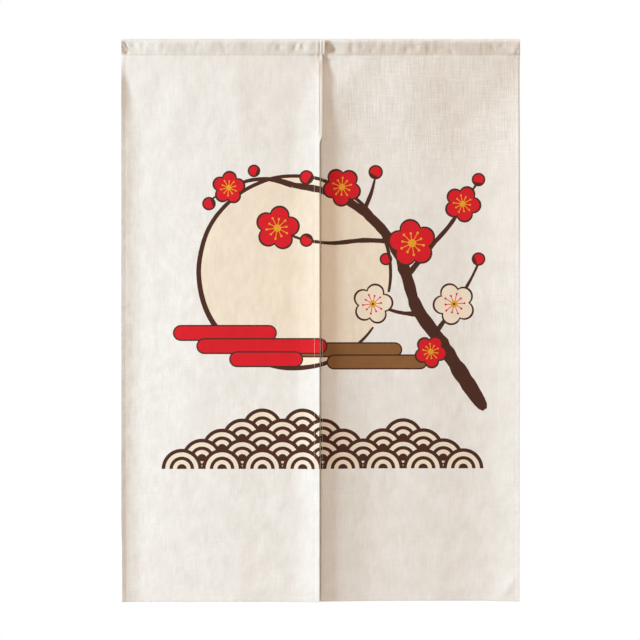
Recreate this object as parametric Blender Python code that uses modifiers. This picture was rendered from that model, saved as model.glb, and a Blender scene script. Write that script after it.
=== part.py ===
# Noren curtain: two cloth panels hung from a stitched rod pocket, in metres, +Z up, front towards -Y.
# The origin is the middle of the curtain's top edge. Tables give millimetres, as read off the curtain.

import bmesh
import bpy
import math

MM = 0.001

# Overall sizes
WIDTH = 850.0
HEIGHT = 1200.0
POCKET_HEIGHT = 35.0
SEAT = 0.3

# Cloth
CLOTH = 1.2
HEM = 2.2
SIDE_HEM = 10.0
BOTTOM_HEM = 15.0

# Where the two cloths lap in the middle
LEFT_INNER_TOP = 3.8
LEFT_INNER_LOW = -1.7
RIGHT_INNER = -3.4
TUCK = 2.7
TUCK_REACH = 28.0

# Rod pocket: a teardrop tube, round above and pinched at the stitch line
POCKET_RADIUS = 8.0
POCKET_PINCH = 1.3
WALL = 1.2
TUNNEL_PINCH = 0.35
TUNNEL_BOTTOM = 31.0
NOSE_RADIUS = 6.4
NOSE_PINCH = 0.85
NOSE_BOTTOM = 27.8
NOSE_WALL = 1.1
NOSE_TUNNEL_PINCH = 0.25
NOSE_TUNNEL_BOTTOM = 25.2
NOSE_CLEAR = 0.5
NOSE_RAMP = 7.0
ARC_STEPS = 10
FACE_STEPS = 3
POCKET_STEP = 12.5

# How far down the shapes below the pocket are fully grown, and how far back the right cloth then lies
LAP_DEPTH = 60.0
HANG_DEPTH = 235.0
ROLL_DEPTH = 125.0
FOLD_START = 30.0
RIGHT_PLATEAU = -14.0

# Distances of the grid lines from a panel's side edges, and their depths below the curtain's top.
# They stand closer where the cloth turns, and in pairs where a hem ends.
SIDE_LINES = [0.0, 4.5, SIDE_HEM - 0.8, SIDE_HEM + 0.6, 19.0, 30.0, 44.0, 62.0, 84.0, 110.0, 140.0, 176.0]
DEPTH_LINES = [POCKET_HEIGHT + SEAT, 47.0, 62.0, 82.0, 106.0, 134.0, 168.0, 205.0, 245.0, 300.0, 370.0,
               460.0, 560.0, 660.0, 760.0, 860.0, 950.0, 1030.0, 1100.0, 1150.0, 1175.0,
               HEIGHT - BOTTOM_HEM - 0.8, HEIGHT - BOTTOM_HEM + 0.6, 1192.0, HEIGHT]

# Rolls of the side edges: how far an edge comes forward of the plateau, over which distance,
# and how much of that distance is there straight below the pocket
ROLL_COLUMNS = ("edge", "forward", "reach", "narrow", "grown_by")
LEFT_ROLLS = [
    ("outer", 6.0, 31.0, 0.45, 190.0),
    ("inner", 10.0, 62.0, 0.80, 125.0),
]
RIGHT_ROLLS = [
    ("inner", 14.0, 125.0, 0.45, 235.0),
    ("outer", 22.0, 125.0, 0.35, 235.0),
]

# Soft ridges and troughs: middle, lean from upright, half length along, half width across, forward
FOLD_COLUMNS = ("x", "depth", "lean", "along", "across", "forward")
LEFT_FOLDS = [
    (-176.0, 120.0, -4.0, 95.0, 30.0, 1.7),
    (-330.0, 130.0, 24.0, 85.0, 34.0, 1.5),
    (-60.0, 175.0, -8.0, 60.0, 26.0, -1.3),
    (-255.0, 640.0, 3.0, 260.0, 60.0, 1.6),
    (-120.0, 980.0, -3.0, 230.0, 48.0, -1.8),
    (-330.0, 1010.0, 2.0, 200.0, 42.0, 1.4),
]
RIGHT_FOLDS = [
    (190.0, 120.0, 6.0, 110.0, 48.0, 2.4),
    (95.0, 150.0, 14.0, 120.0, 36.0, -1.6),
    (285.0, 110.0, -6.0, 80.0, 30.0, 1.5),
    (225.0, 620.0, -2.0, 260.0, 62.0, 1.7),
    (140.0, 1000.0, 3.0, 220.0, 50.0, -1.6),
    (400.0, 1172.0, 36.0, 26.0, 9.0, 2.6),
]

# Drift of the outer edges with depth, towards the middle
DRIFT_COLUMNS = ("depth", "left", "right")
DRIFTS = [
    (35.0, 0.0, 0.0),
    (600.0, 0.3, 0.2),
    (1030.0, 0.6, 0.5),
    (1100.0, 2.2, 0.8),
    (1200.0, 2.4, 1.0),
]

# Dents in the pocket's front, where the empty fold buckles under its round top
DENT_TOP = (2.0, 9.0)
DENT_FOOT = (14.0, 30.0)
DENT_COLUMNS = ("x", "half_width", "inward")
LEFT_DENTS = [
    (-411.0, 9.0, 1.5),
    (-291.0, 10.0, 0.7),
    (-255.0, 9.0, 1.0),
    (-208.0, 11.0, 1.1),
    (-150.0, 15.0, 0.8),
    (-91.0, 9.0, 1.5),
    (-48.0, 11.0, 1.4),
]
RIGHT_DENTS = [
    (19.0, 8.0, 1.2),
    (70.0, 14.0, 0.8),
    (196.0, 11.0, 1.3),
    (249.0, 14.0, 1.0),
    (306.0, 11.0, 0.9),
    (362.0, 12.0, 0.9),
    (396.0, 9.0, 1.4),
]

CLOTH_COLOUR = (0.83, 0.80, 0.74, 1.0)
POCKET_COLOUR = (0.80, 0.76, 0.69, 1.0)


# Small sums

def named(columns, rows):
    return [dict(zip(columns, row)) for row in rows]


def clamp(value):
    return max(0.0, min(1.0, value))


def ease(start, end, value):
    share = clamp((value - start) / (end - start))
    return share * share * (3.0 - 2.0 * share)


def mix(first, second, share):
    return first + (second - first) * share


def drift(side, depth):
    rows = named(DRIFT_COLUMNS, DRIFTS)
    for above, below in zip(rows, rows[1:]):
        if depth <= below["depth"]:
            share = clamp((depth - above["depth"]) / (below["depth"] - above["depth"]))
            return mix(above[side], below[side], share)
    return rows[-1][side]


# How a panel hangs

def panel_edges(side, depth):
    if side == "left":
        outer = -WIDTH / 2 + drift("left", depth)
        inner = mix(LEFT_INNER_TOP, LEFT_INNER_LOW, ease(LAP_DEPTH, HANG_DEPTH, depth))
        return outer, inner
    return RIGHT_INNER, WIDTH / 2 - drift("right", depth)


def edge_roll(row, distance, depth):
    grown = ease(POCKET_HEIGHT, row["grown_by"], depth)
    reach = row["reach"] * mix(row["narrow"], 1.0, ease(POCKET_HEIGHT, HANG_DEPTH, depth))
    inside = clamp(1.0 - distance / reach)
    return row["forward"] * grown * inside * inside


def soft_fold(row, x, depth):
    lean = math.radians(row["lean"])
    across = (x - row["x"]) * math.cos(lean) + (depth - row["depth"]) * math.sin(lean)
    along = (depth - row["depth"]) * math.cos(lean) - (x - row["x"]) * math.sin(lean)
    spread = (across / row["across"]) ** 2 + (along / row["along"]) ** 2
    return row["forward"] * math.exp(-spread) * ease(POCKET_HEIGHT, POCKET_HEIGHT + FOLD_START, depth)


def forward(side, x, depth):
    left, right = panel_edges(side, depth)
    hang = ease(POCKET_HEIGHT, HANG_DEPTH, depth)
    rolls = named(ROLL_COLUMNS, LEFT_ROLLS if side == "left" else RIGHT_ROLLS)
    folds = named(FOLD_COLUMNS, LEFT_FOLDS if side == "left" else RIGHT_FOLDS)
    inner_gap = right - x if side == "left" else x - left
    outer_gap = x - left if side == "left" else right - x
    total = 0.0 if side == "left" else RIGHT_PLATEAU * hang
    for row in rolls:
        gap = inner_gap if row["edge"] == "inner" else outer_gap
        total += edge_roll(row, gap, depth)
    for row in folds:
        total += soft_fold(row, x, depth)
    if side == "right":
        lifted = 1.0 - ease(POCKET_HEIGHT, ROLL_DEPTH, depth)
        total -= TUCK * lifted * (1.0 - ease(NOSE_RAMP, TUCK_REACH, inner_gap))
    return total


# Pocket profile

def teardrop(radius, pinch, bottom):
    # Runs from the front of the stitch line over the top to the back of it
    drop = bottom - POCKET_RADIUS
    touch = math.atan2(-drop, pinch) + math.acos(radius / math.hypot(pinch, drop))
    touch_y = radius * math.cos(touch)
    touch_z = radius * math.sin(touch)
    face = [(mix(pinch, touch_y, step / FACE_STEPS), mix(-drop, touch_z, step / FACE_STEPS))
            for step in range(FACE_STEPS)]
    turns = [mix(math.pi - touch, touch, step / ARC_STEPS) for step in range(ARC_STEPS + 1)]
    arc = [(radius * math.cos(turn), radius * math.sin(turn)) for turn in turns]
    points = [(-y, z) for y, z in face] + arc + face[::-1]
    return [(y, z - POCKET_RADIUS) for y, z in points]


def pocket_profile(side, x, inner):
    nested = 0.0
    if side == "right":
        start = LEFT_INNER_TOP + NOSE_CLEAR
        nested = 1.0 - ease(start, start + NOSE_RAMP, x)
    if inner:
        radius = mix(POCKET_RADIUS - WALL, NOSE_RADIUS - NOSE_WALL, nested)
        pinch = mix(TUNNEL_PINCH, NOSE_TUNNEL_PINCH, nested)
        bottom = mix(TUNNEL_BOTTOM, NOSE_TUNNEL_BOTTOM, nested)
    else:
        radius = mix(POCKET_RADIUS, NOSE_RADIUS, nested)
        pinch = mix(POCKET_PINCH, NOSE_PINCH, nested)
        bottom = mix(POCKET_HEIGHT, NOSE_BOTTOM, nested)
    return teardrop(radius, pinch, bottom)


def dent(side, x, y, z):
    # Only the front of the tube buckles, most of all a little below its round top
    if y > 0.0:
        return 0.0
    rows = named(DENT_COLUMNS, LEFT_DENTS if side == "left" else RIGHT_DENTS)
    height = ease(*DENT_TOP, -z) * (1.0 - ease(*DENT_FOOT, -z))
    return height * sum(row["inward"] * math.exp(-((x - row["x"]) / row["half_width"]) ** 2) for row in rows)


# Scene helpers

def clear_scene():
    for item in list(bpy.data.objects):
        bpy.data.objects.remove(item, do_unlink=True)


def cloth_material(name, colour):
    material = bpy.data.materials.new(name)
    material.use_nodes = True
    shader = material.node_tree.nodes["Principled BSDF"]
    shader.inputs["Base Color"].default_value = colour
    shader.inputs["Roughness"].default_value = 0.9
    return material


def add_object(collection, name, mesh_builder, material):
    mesh = bpy.data.meshes.new(name)
    mesh_builder.to_mesh(mesh)
    mesh_builder.free()
    mesh.materials.append(material)
    item = bpy.data.objects.new(name, mesh)
    collection.objects.link(item)
    return item


def grid(columns, rows):
    # A flat grid whose corners carry their column and row numbers in x and y
    builder = bmesh.new()
    bmesh.ops.create_grid(builder, x_segments=columns, y_segments=rows, size=0.5)
    for vert in builder.verts:
        vert.co.x = round((vert.co.x + 0.5) * columns)
        vert.co.y = round((vert.co.y + 0.5) * rows)
    return builder


# Panels

def across_lines(left, right):
    near = [left + line for line in SIDE_LINES]
    far = [right - line for line in reversed(SIDE_LINES)]
    return near + far


def build_panel(collection, name, side, material):
    row_count = len(DEPTH_LINES)
    column_count = 2 * len(SIDE_LINES)
    builder = grid(column_count - 1, row_count - 1)
    builder.verts.index_update()
    hem_places = []
    for vert in builder.verts:
        column = int(vert.co.x)
        row = row_count - 1 - int(vert.co.y)
        depth = DEPTH_LINES[row]
        left, right = panel_edges(side, depth)
        x = across_lines(left, right)[column]
        if min(x - left, right - x) < SIDE_HEM or depth > HEIGHT - BOTTOM_HEM:
            hem_places.append(vert.index)
        y = -POCKET_PINCH - forward(side, x, depth)
        vert.co = (x * MM, y * MM, -depth * MM)
    bmesh.ops.recalc_face_normals(builder, faces=builder.faces)
    panel = add_object(collection, name, builder, material)
    face_front(panel)
    weights = panel.vertex_groups.new(name="hem")
    weights.add(hem_places, 1.0, "REPLACE")
    thick = panel.modifiers.new("cloth", "SOLIDIFY")
    thick.thickness = HEM * MM
    thick.offset = -1.0
    thick.vertex_group = "hem"
    thick.thickness_vertex_group = CLOTH / HEM
    thick.use_even_offset = False
    return panel


def face_front(panel):
    # The grid's faces look towards -Y, so thickness grows to the back
    mesh = panel.data
    middle = mesh.polygons[len(mesh.polygons) // 2]
    if middle.normal.y > 0.0:
        mesh.flip_normals()


# Rod pockets

def pocket_stations(side):
    if side == "left":
        start = -WIDTH / 2
        stations = [start]
        end = LEFT_INNER_TOP
    else:
        start = LEFT_INNER_TOP + NOSE_CLEAR + NOSE_RAMP
        stations = [RIGHT_INNER, start - NOSE_RAMP, start - NOSE_RAMP / 2, start]
        end = WIDTH / 2
    steps = round((end - start) / POCKET_STEP)
    return stations + [mix(start, end, step / steps) for step in range(1, steps + 1)]


def build_pocket(collection, name, side, material):
    # One grid goes along the outside, round the end, back through the tunnel and round the other end
    stations = pocket_stations(side)
    count = len(stations)
    profile_size = len(pocket_profile(side, stations[0], False))
    builder = grid(2 * count, profile_size)
    for vert in builder.verts:
        place = int(vert.co.x) % (2 * count)
        inner = place >= count
        x = stations[2 * count - 1 - place] if inner else stations[place]
        y, z = pocket_profile(side, x, inner)[int(vert.co.y) % profile_size]
        vert.co = (x * MM, (y + dent(side, x, y, z)) * MM, z * MM)
    bmesh.ops.remove_doubles(builder, verts=builder.verts, dist=0.00001)
    bmesh.ops.recalc_face_normals(builder, faces=builder.faces)
    return add_object(collection, name, builder, material)


def build():
    clear_scene()
    curtain = bpy.data.collections.new("noren_curtain")
    bpy.context.scene.collection.children.link(curtain)
    cloth = cloth_material("linen_panel_left", CLOTH_COLOUR)
    other_cloth = cloth_material("linen_panel_right", CLOTH_COLOUR)
    fold = cloth_material("linen_pocket_left", POCKET_COLOUR)
    other_fold = cloth_material("linen_pocket_right", POCKET_COLOUR)
    build_panel(curtain, "panel_left", "left", cloth)
    build_panel(curtain, "panel_right", "right", other_cloth)
    build_pocket(curtain, "pocket_left", "left", fold)
    build_pocket(curtain, "pocket_right", "right", other_fold)


build()
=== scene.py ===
import math

import bpy
import numpy as np
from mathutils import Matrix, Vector, noise
from mathutils.geometry import delaunay_2d_cdt


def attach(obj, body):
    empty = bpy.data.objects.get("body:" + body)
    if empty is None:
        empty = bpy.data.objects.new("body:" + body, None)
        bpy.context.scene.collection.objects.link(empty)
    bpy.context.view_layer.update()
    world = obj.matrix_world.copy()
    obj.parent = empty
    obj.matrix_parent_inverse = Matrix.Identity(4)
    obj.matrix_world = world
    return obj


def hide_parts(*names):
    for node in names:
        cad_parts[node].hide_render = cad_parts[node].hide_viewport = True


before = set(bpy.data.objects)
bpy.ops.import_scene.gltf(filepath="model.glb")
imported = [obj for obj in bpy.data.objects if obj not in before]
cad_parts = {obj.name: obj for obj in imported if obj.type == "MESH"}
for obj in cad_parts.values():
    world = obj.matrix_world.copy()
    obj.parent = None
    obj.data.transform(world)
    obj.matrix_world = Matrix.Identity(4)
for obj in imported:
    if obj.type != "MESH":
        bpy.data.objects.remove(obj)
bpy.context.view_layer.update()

mm = 0.001

# Noren curtain: two lapping cloths, each cut, hemmed and folded over into its rod pocket as one sheet.
# Lengths are in millimetres. x runs to the right from the middle, depth runs down from the top edge,
# and forward is towards the viewer.

curtain = {
    "width": 850.0,
    "height": 1200.0,
    "pocketHeight": 35.0,
    "clothThick": 0.45,
    "sideHem": 9.6,
    "sideHemRadius": 0.6,
    "bottomHem": 14.0,
    "bottomHemRadius": 1.5,
    "hangDepth": 235.0,      # rolls and plateaus are fully grown from here down
    "foldStart": 30.0,
}


def named(columns, rows):
    return [dict(zip(columns, row)) for row in rows]


# Each cloth has its own tables. Rolls, folds and creases shape how it hangs. Dents, grooves, crumples
# and pressed places shape its pocket. Forward is how far a shape stands out, and inward how far it sinks.

rollColumns = ("edge", "forward", "reach", "narrow", "grownBy")
foldColumns = ("x", "depth", "lean", "along", "across", "forward")
dentColumns = ("x", "halfWidth", "inward")

leftCloth = {
    "name": "noren_cloth_left",
    "nodes": ("panel_left", "pocket_left"),
    "slot": "panel_left",
    "side": "left",
    "plateau": 0.0,          # where its flat middle hangs, forward of the stitch line
    "innerTop": 3.8,
    "innerLow": -2.4,
    "pocketOverlap": 5.4,    # how far its pocket reaches on over the right one
    "narrowing": (200.0, 226.0),    # depths over which the lap narrows, as the slit opens
    "tuck": 0.0,
    "backTurnX": -3.2,       # the joined length of the slit turns back beyond this crease
    "backTurnSlope": 0.44,
    "backTurnGrown": (38.0, 62.0),
    "hemInset": (14.2, 10.8),       # the inner hem's stitch line, above and below the slit's opening
    "rolls": named(rollColumns, [
        ("outer", 8.6, 45.0, 0.28, 125.0),
        ("inner", 10.0, 62.0, 0.80, 100.0),
    ]),
    "folds": named(foldColumns, [
        (-176.0, 120.0, -4.0, 95.0, 30.0, 2.6),
        (-338.0, 130.0, 3.0, 110.0, 26.0, -0.9),
        (-296.0, 130.0, 24.0, 85.0, 34.0, 1.2),
        (-60.0, 175.0, -8.0, 60.0, 26.0, -1.3),
        (-255.0, 640.0, 3.0, 260.0, 60.0, 1.6),
        (-120.0, 980.0, -3.0, 230.0, 48.0, -1.8),
        (-330.0, 1010.0, 2.0, 200.0, 42.0, 1.4),
        (-2.0, 900.0, 0.0, 420.0, 34.0, 3.2),
        (-200.0, 1010.0, 0.0, 380.0, 600.0, 4.5),
        (-432.0, 1010.0, 0.0, 300.0, 60.0, 1.6),
        (-424.5, 1060.0, 0.0, 260.0, 7.0, 1.3),
    ]),
    "creases": named(foldColumns, [
        (-118.0, 70.0, 6.0, 34.0, 10.0, -0.5),
        (-52.0, 62.0, -10.0, 26.0, 7.0, -0.5),
        (-38.0, 78.0, 14.0, 30.0, 8.0, 0.5),
        (-395.0, 60.0, 18.0, 24.0, 8.0, -0.5),
        (-1.2, 132.0, 0.0, 76.0, 1.2, -0.6),
        (-300.0, 66.0, 8.0, 30.0, 12.0, 0.4),
    ]),
    "dents": named(dentColumns, [
        (-410.0, 6.0, 0.7),
        (-291.0, 10.0, 0.7),
        (-255.0, 9.0, 1.0),
        (-208.0, 11.0, 1.1),
        (-150.0, 15.0, 0.4),
        (-91.0, 9.0, 0.9),
        (-48.0, 11.0, 0.9),
    ]),
    "pocketGrooves": named(dentColumns, [
        (-416.0, 1.3, 0.6),
        (-10.4, 1.3, 0.7),
        (-1.8, 1.6, 1.2),
        (4.8, 1.5, 1.1),
    ]),
    "crumples": named(foldColumns, [
        (-418.0, 9.0, -35.0, 8.0, 2.2, -1.5),
        (-413.5, 15.0, -30.0, 7.0, 2.0, -1.2),
        (-420.0, 21.0, -20.0, 6.0, 2.2, -1.2),
        (-413.0, 30.0, 30.0, 5.0, 3.6, -2.2),
        (-398.0, 14.0, 10.0, 5.0, 5.0, -1.2),
        (-264.0, 18.0, 15.0, 6.0, 4.5, -1.1),
        (-194.0, 16.5, -10.0, 5.0, 5.0, -1.2),
        (-87.0, 19.0, 12.0, 7.0, 6.0, -1.9),
        (-54.0, 18.5, 18.0, 8.0, 5.0, -2.4),
        (-46.0, 17.0, 32.0, 9.0, 3.0, 1.0),
        (-37.0, 17.5, -22.0, 7.0, 4.2, -2.4),
        (-24.0, 22.0, 8.0, 9.0, 5.0, 0.9),
        (-428.5, 20.0, 0.0, 30.0, 9.0, 3.4),
        (-395.0, 17.0, 0.0, 16.0, 34.0, -5.2),
        (-3.0, 20.0, 0.0, 40.0, 30.0, 4.2),
    ]),
    "pressed": [],
    "seed": 3.0,
}

rightCloth = {
    "name": "noren_cloth_right",
    "nodes": ("panel_right", "pocket_right"),
    "slot": "panel_right",
    "side": "right",
    "plateau": -14.0,
    "innerTop": -3.4,
    "innerLow": -4.8,
    "narrowing": (60.0, 235.0),
    "tuckTop": 4.2,          # how far its lap lies back behind the left cloth, straight below the pocket
    "tuck": 7.4,
    "tuckGrown": 13.0,
    "tuckFrom": 12.0,
    "tuckReach": 100.0,
    "tuckDepth": 125.0,
    "hemInset": (9.2, 9.2),
    "pocketOverlap": 0.0,
    "rolls": named(rollColumns, [
        ("inner", 14.0, 125.0, 0.45, 235.0),
        ("outer", 22.0, 125.0, 0.35, 235.0),
    ]),
    "folds": named(foldColumns, [
        (190.0, 120.0, 6.0, 110.0, 42.0, 2.8),
        (95.0, 150.0, 14.0, 120.0, 36.0, -2.2),
        (300.0, 115.0, -6.0, 90.0, 40.0, -2.6),
        (225.0, 620.0, -2.0, 260.0, 62.0, 1.7),
        (140.0, 1000.0, 3.0, 220.0, 50.0, -1.6),
        (-10.0, 960.0, 0.0, 420.0, 66.0, 6.2),
        (45.0, 1010.0, 0.0, 380.0, 110.0, 6.4),
        (58.0, 1010.0, 0.0, 320.0, 44.0, 1.8),
        (220.0, 1010.0, 0.0, 380.0, 700.0, -5.5),
        (430.0, 1010.0, 0.0, 380.0, 110.0, -5.4),
        (430.0, 140.0, 0.0, 115.0, 115.0, -6.2),
        (237.0, 150.0, 0.0, 95.0, 46.0, 1.6),
        (400.0, 1172.0, 36.0, 26.0, 9.0, 2.6),
    ]),
    "creases": named(foldColumns, [
        (262.0, 66.0, -8.0, 32.0, 10.0, -0.6),
        (300.0, 62.0, 6.0, 24.0, 8.0, 0.5),
        (402.0, 62.0, -24.0, 24.0, 7.0, 0.6),
        (46.0, 66.0, -12.0, 26.0, 8.0, 0.5),
        (427.0, 190.0, 0.0, 230.0, 2.4, -7.0),
    ]),
    "pocketGrooves": named(dentColumns, [
        (416.0, 1.3, 0.5),
    ]),
    "dents": named(dentColumns, [
        (431.0, 5.0, 3.4),
        (70.0, 14.0, 0.8),
        (196.0, 11.0, 0.9),
        (249.0, 14.0, 0.8),
        (306.0, 11.0, 0.9),
        (362.0, 12.0, 0.9),
    ]),
    "crumples": named(foldColumns, [
        (55.0, 20.0, 0.0, 16.0, 24.0, 2.4),
        (66.0, 21.0, 4.0, 9.0, 7.5, -2.2),
        (90.0, 16.0, -8.0, 7.0, 4.0, -1.0),
        (109.0, 26.0, 20.0, 5.0, 3.4, -1.2),
        (184.0, 23.0, 10.0, 8.0, 6.5, -2.6),
        (203.0, 18.5, -12.0, 5.5, 8.0, -2.3),
        (231.0, 18.0, -16.0, 12.0, 7.0, -2.4),
        (224.0, 21.0, 0.0, 16.0, 20.0, 1.8),
        (262.0, 21.0, 0.0, 16.0, 24.0, -2.4),
        (281.0, 30.0, -22.0, 6.0, 4.0, -1.7),
        (367.0, 18.5, -35.0, 8.0, 3.2, -1.4),
        (389.0, 15.5, 0.0, 4.5, 8.0, -2.4),
        (420.0, 26.0, 6.0, 16.0, 15.0, 6.0),
        (419.5, 29.0, 16.0, 6.0, 4.0, -2.0),
    ]),
    "pressed": named(foldColumns, [
        (27.0, 25.0, -6.0, 15.0, 22.0, -8.4),
    ]),
    "seed": 11.0,
}

# How far the outer edges draw in on the way down
driftTable = named(("depth", "left", "right"), [
    (35.0, 0.0, 0.0),
    (600.0, 0.3, 0.2),
    (1030.0, 0.6, 0.5),
    (1100.0, 2.2, 0.8),
    (1200.0, 2.4, 1.0),
])


# Sums that every piece uses

def clamp(value):
    return max(0.0, min(1.0, value))


def ease(start, end, value):
    share = clamp((value - start) / (end - start))
    return share * share * (3.0 - 2.0 * share)


def between(begin, end, value):
    # 1 in the middle, rising over the first pair of values and falling over the second
    return ease(*begin, value) * (1.0 - ease(*end, value))


def mix(first, second, share):
    return first + (second - first) * share


def drift(side, depth):
    for above, below in zip(driftTable, driftTable[1:]):
        if depth <= below["depth"]:
            share = clamp((depth - above["depth"]) / (below["depth"] - above["depth"]))
            return mix(above[side], below[side], share)
    return driftTable[-1][side]


# The hang of the cloth, by the same rules as the solids, with finer creases added

def clothEdges(cloth, depth):
    inner = mix(cloth["innerTop"], cloth["innerLow"], ease(*cloth["narrowing"], depth))
    outer = curtain["width"] / 2 - drift(cloth["side"], depth)
    return (-outer, inner) if cloth["side"] == "left" else (inner, outer)


def edgeRoll(roll, gap, depth):
    grown = ease(curtain["pocketHeight"], roll["grownBy"], depth)
    widened = ease(curtain["pocketHeight"], curtain["hangDepth"], depth)
    reach = roll["reach"] * mix(roll["narrow"], 1.0, widened)
    inside = clamp(1.0 - gap / reach)
    return roll["forward"] * grown * inside * inside


def softFold(fold, x, depth):
    lean = math.radians(fold["lean"])
    across = (x - fold["x"]) * math.cos(lean) + (depth - fold["depth"]) * math.sin(lean)
    along = (depth - fold["depth"]) * math.cos(lean) - (x - fold["x"]) * math.sin(lean)
    spread = (across / fold["across"]) ** 2 + (along / fold["along"]) ** 2
    if spread > 9.0:    # more than three half widths away
        return 0.0
    return fold["forward"] * math.exp(-spread)


hemPucker = {
    "stitchInset": 9.2,      # the side hems' stitch line, in from the edge
    "bottomInset": 12.5,
    "bottomShare": 0.6,      # the bottom hem puckers less
    "groove": 0.28,          # how far the thread draws the cloth in
    "grooveWidth": 1.5,
    "pitch": 10.5,           # a small pucker about every centimetre, never quite even
    "ripple": 0.24,
    "rippleReach": 7.0,
    "wander": 2.6,           # in radians
    "wanderLength": 37.0,
    "strength": 0.55,
    "strengthSwing": 0.9,
    "strengthLength": 23.0,
}

unevenness = {
    "rise": 0.42,            # slow unevenness of hanging cloth
    "across": 62.0,
    "down": 150.0,
    "fineRise": 0.10,
    "fine": 19.0,
    "grown": 6.0,
}

# The part of the pocket's seam that goes through both cloths
lapSeam = {
    "x": -5.0,
    "halfWidth": 15.0,
    "draw": 1.5,
    "extraDraw": 1.7,
}


def seamDraw(gap, place, seed):
    # The dip and puckers beside a stitched line, gap from the line and place along it
    near = gap / hemPucker["grooveWidth"]
    dip = -hemPucker["groove"] * math.exp(-near * near)
    fade = math.exp(-(gap / hemPucker["rippleReach"]) ** 2)
    wander = hemPucker["wander"] * noise.noise(Vector((place / hemPucker["wanderLength"], seed, 0.0)))
    swing = noise.noise(Vector((place / hemPucker["strengthLength"], seed, 4.0)))
    strength = hemPucker["strength"] + hemPucker["strengthSwing"] * swing
    turn = 2.0 * math.pi * place / hemPucker["pitch"] + wander
    return dip + hemPucker["ripple"] * strength * math.sin(turn) * fade


def hangForward(cloth, x, depth):
    left, right = clothEdges(cloth, depth)
    innerGap, outerGap = (right - x, x - left) if cloth["side"] == "left" else (x - left, right - x)
    total = cloth["plateau"] * ease(curtain["pocketHeight"], curtain["hangDepth"], depth)
    for roll in cloth["rolls"]:
        total += edgeRoll(roll, innerGap if roll["edge"] == "inner" else outerGap, depth)
    begin = ease(curtain["pocketHeight"], curtain["pocketHeight"] + curtain["foldStart"], depth)
    total += begin * sum(softFold(fold, x, depth) for fold in cloth["folds"])
    if cloth["tuck"] > 0.0:
        below = curtain["pocketHeight"] + cloth["tuckGrown"]
        tuck = mix(cloth["tuckTop"], cloth["tuck"], ease(curtain["pocketHeight"], below, depth))
        tuck *= 1.0 - ease(below, cloth["tuckDepth"], depth)
        total -= tuck * (1.0 - ease(cloth["tuckFrom"], cloth["tuckReach"], innerGap))
    return total


def innerHemInset(cloth, depth):
    above, below = cloth["hemInset"]
    return mix(above, below, ease(*cloth["narrowing"], depth))


def backTurn(cloth, x, depth):
    # Down to where the slit opens, the left cloth's inner edge is joined and turns back
    if cloth["side"] == "right" or x < cloth["backTurnX"]:
        return 0.0
    grown = between(cloth["backTurnGrown"], cloth["narrowing"], depth)
    return -cloth["backTurnSlope"] * (x - cloth["backTurnX"]) * grown


slitCrevice = {
    "x": -1.2,
    "halfWidth": 1.6,
    "deep": 9.5,
    "opening": (208.0, 224.0),    # depths over which the slit opens
}


def crevice(cloth, x, depth):
    # Below the opening the right cloth dips away close beside the left one's edge
    if cloth["side"] == "left":
        return 0.0
    near = (x - slitCrevice["x"]) / slitCrevice["halfWidth"]
    return -slitCrevice["deep"] * math.exp(-near * near) * ease(*slitCrevice["opening"], depth)


def seamPull(x):
    # It draws harder than the rest of the seam
    near = (x - lapSeam["x"]) / lapSeam["halfWidth"]
    return lapSeam["draw"] + lapSeam["extraDraw"] * math.exp(-near * near)


def fineRelief(cloth, x, depth):
    # Creases, hem puckers and unevenness of the flat cloth below the pocket
    left, right = clothEdges(cloth, depth)
    seed = cloth["seed"]
    start = ease(curtain["pocketHeight"], curtain["pocketHeight"] + unevenness["grown"], depth)
    total = start * sum(softFold(fold, x, depth) for fold in cloth["creases"])
    slow = noise.noise(Vector((x / unevenness["across"], depth / unevenness["down"], seed)))
    fineAcross = unevenness["fine"]
    fine = noise.noise(Vector((x / fineAcross, depth / (2.0 * fineAcross), seed + 5.0)))
    total += start * (unevenness["rise"] * slow + unevenness["fineRise"] * fine)
    outerInset, innerInset = hemPucker["stitchInset"], innerHemInset(cloth, depth)
    onLeft = cloth["side"] == "left"
    leftInset, rightInset = (outerInset, innerInset) if onLeft else (innerInset, outerInset)
    total += seamDraw(x - left - leftInset, depth, seed + 1.0)
    total += seamDraw(right - x - rightInset, depth, seed + 2.0)
    total += backTurn(cloth, x, depth) + crevice(cloth, x, depth)
    total += seamPull(x) * seamDraw(depth - curtain["pocketHeight"], x, seed + 3.0)
    fromBottomSeam = curtain["height"] - depth - hemPucker["bottomInset"]
    total += hemPucker["bottomShare"] * seamDraw(fromBottomSeam, x, seed + 4.0)
    return total


# The rod pocket, a teardrop loop from the front of the stitch line over the top and down the back.
# Pairs of numbers are the depths over which a relief begins or ends.

pocket = {
    "radius": 8.0,
    "pinch": 1.3,
    "turnRadius": 0.4,
    "turnUnder": 8.0,
    "turnSpread": 0.3,
    "nestIn": 1.5,           # how much smaller the right pocket is where it slips into the left one
    "nestPinch": 0.5,
    "nestStart": 9.8,
    "nestRamp": 7.0,
    "overlapRise": 5.0,      # the left pocket's end reaches over the right one from this far above the seam
    "overlapFrom": 0.955,
    "stitchReach": 3.5,      # how far up from the seam the cloth still follows its dip
    "dentTop": (2.0, 9.0),
    "dentFoot": (20.0, 34.0),
    "crumpleTop": (2.0, 8.0),
    "crumpleFoot": (31.0, 35.0),
    "grooveTop": (1.0, 6.0),
    "pressedFoot": (29.0, 35.0),
    "pressedBack": (10.0, 24.0),
    "rippleTop": (3.0, 12.0),
    "rippleFoot": (26.0, 35.0),
    "ripples": named(("rise", "across", "down", "seed"), [
        (0.7, 11.0, 20.0, 8.0),
        (1.1, 36.0, 34.0, 9.0),
    ]),
}


def nestShare(cloth, x):
    if cloth["side"] == "left":
        return 0.0
    return 1.0 - ease(pocket["nestStart"], pocket["nestStart"] + pocket["nestRamp"], x)


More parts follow.
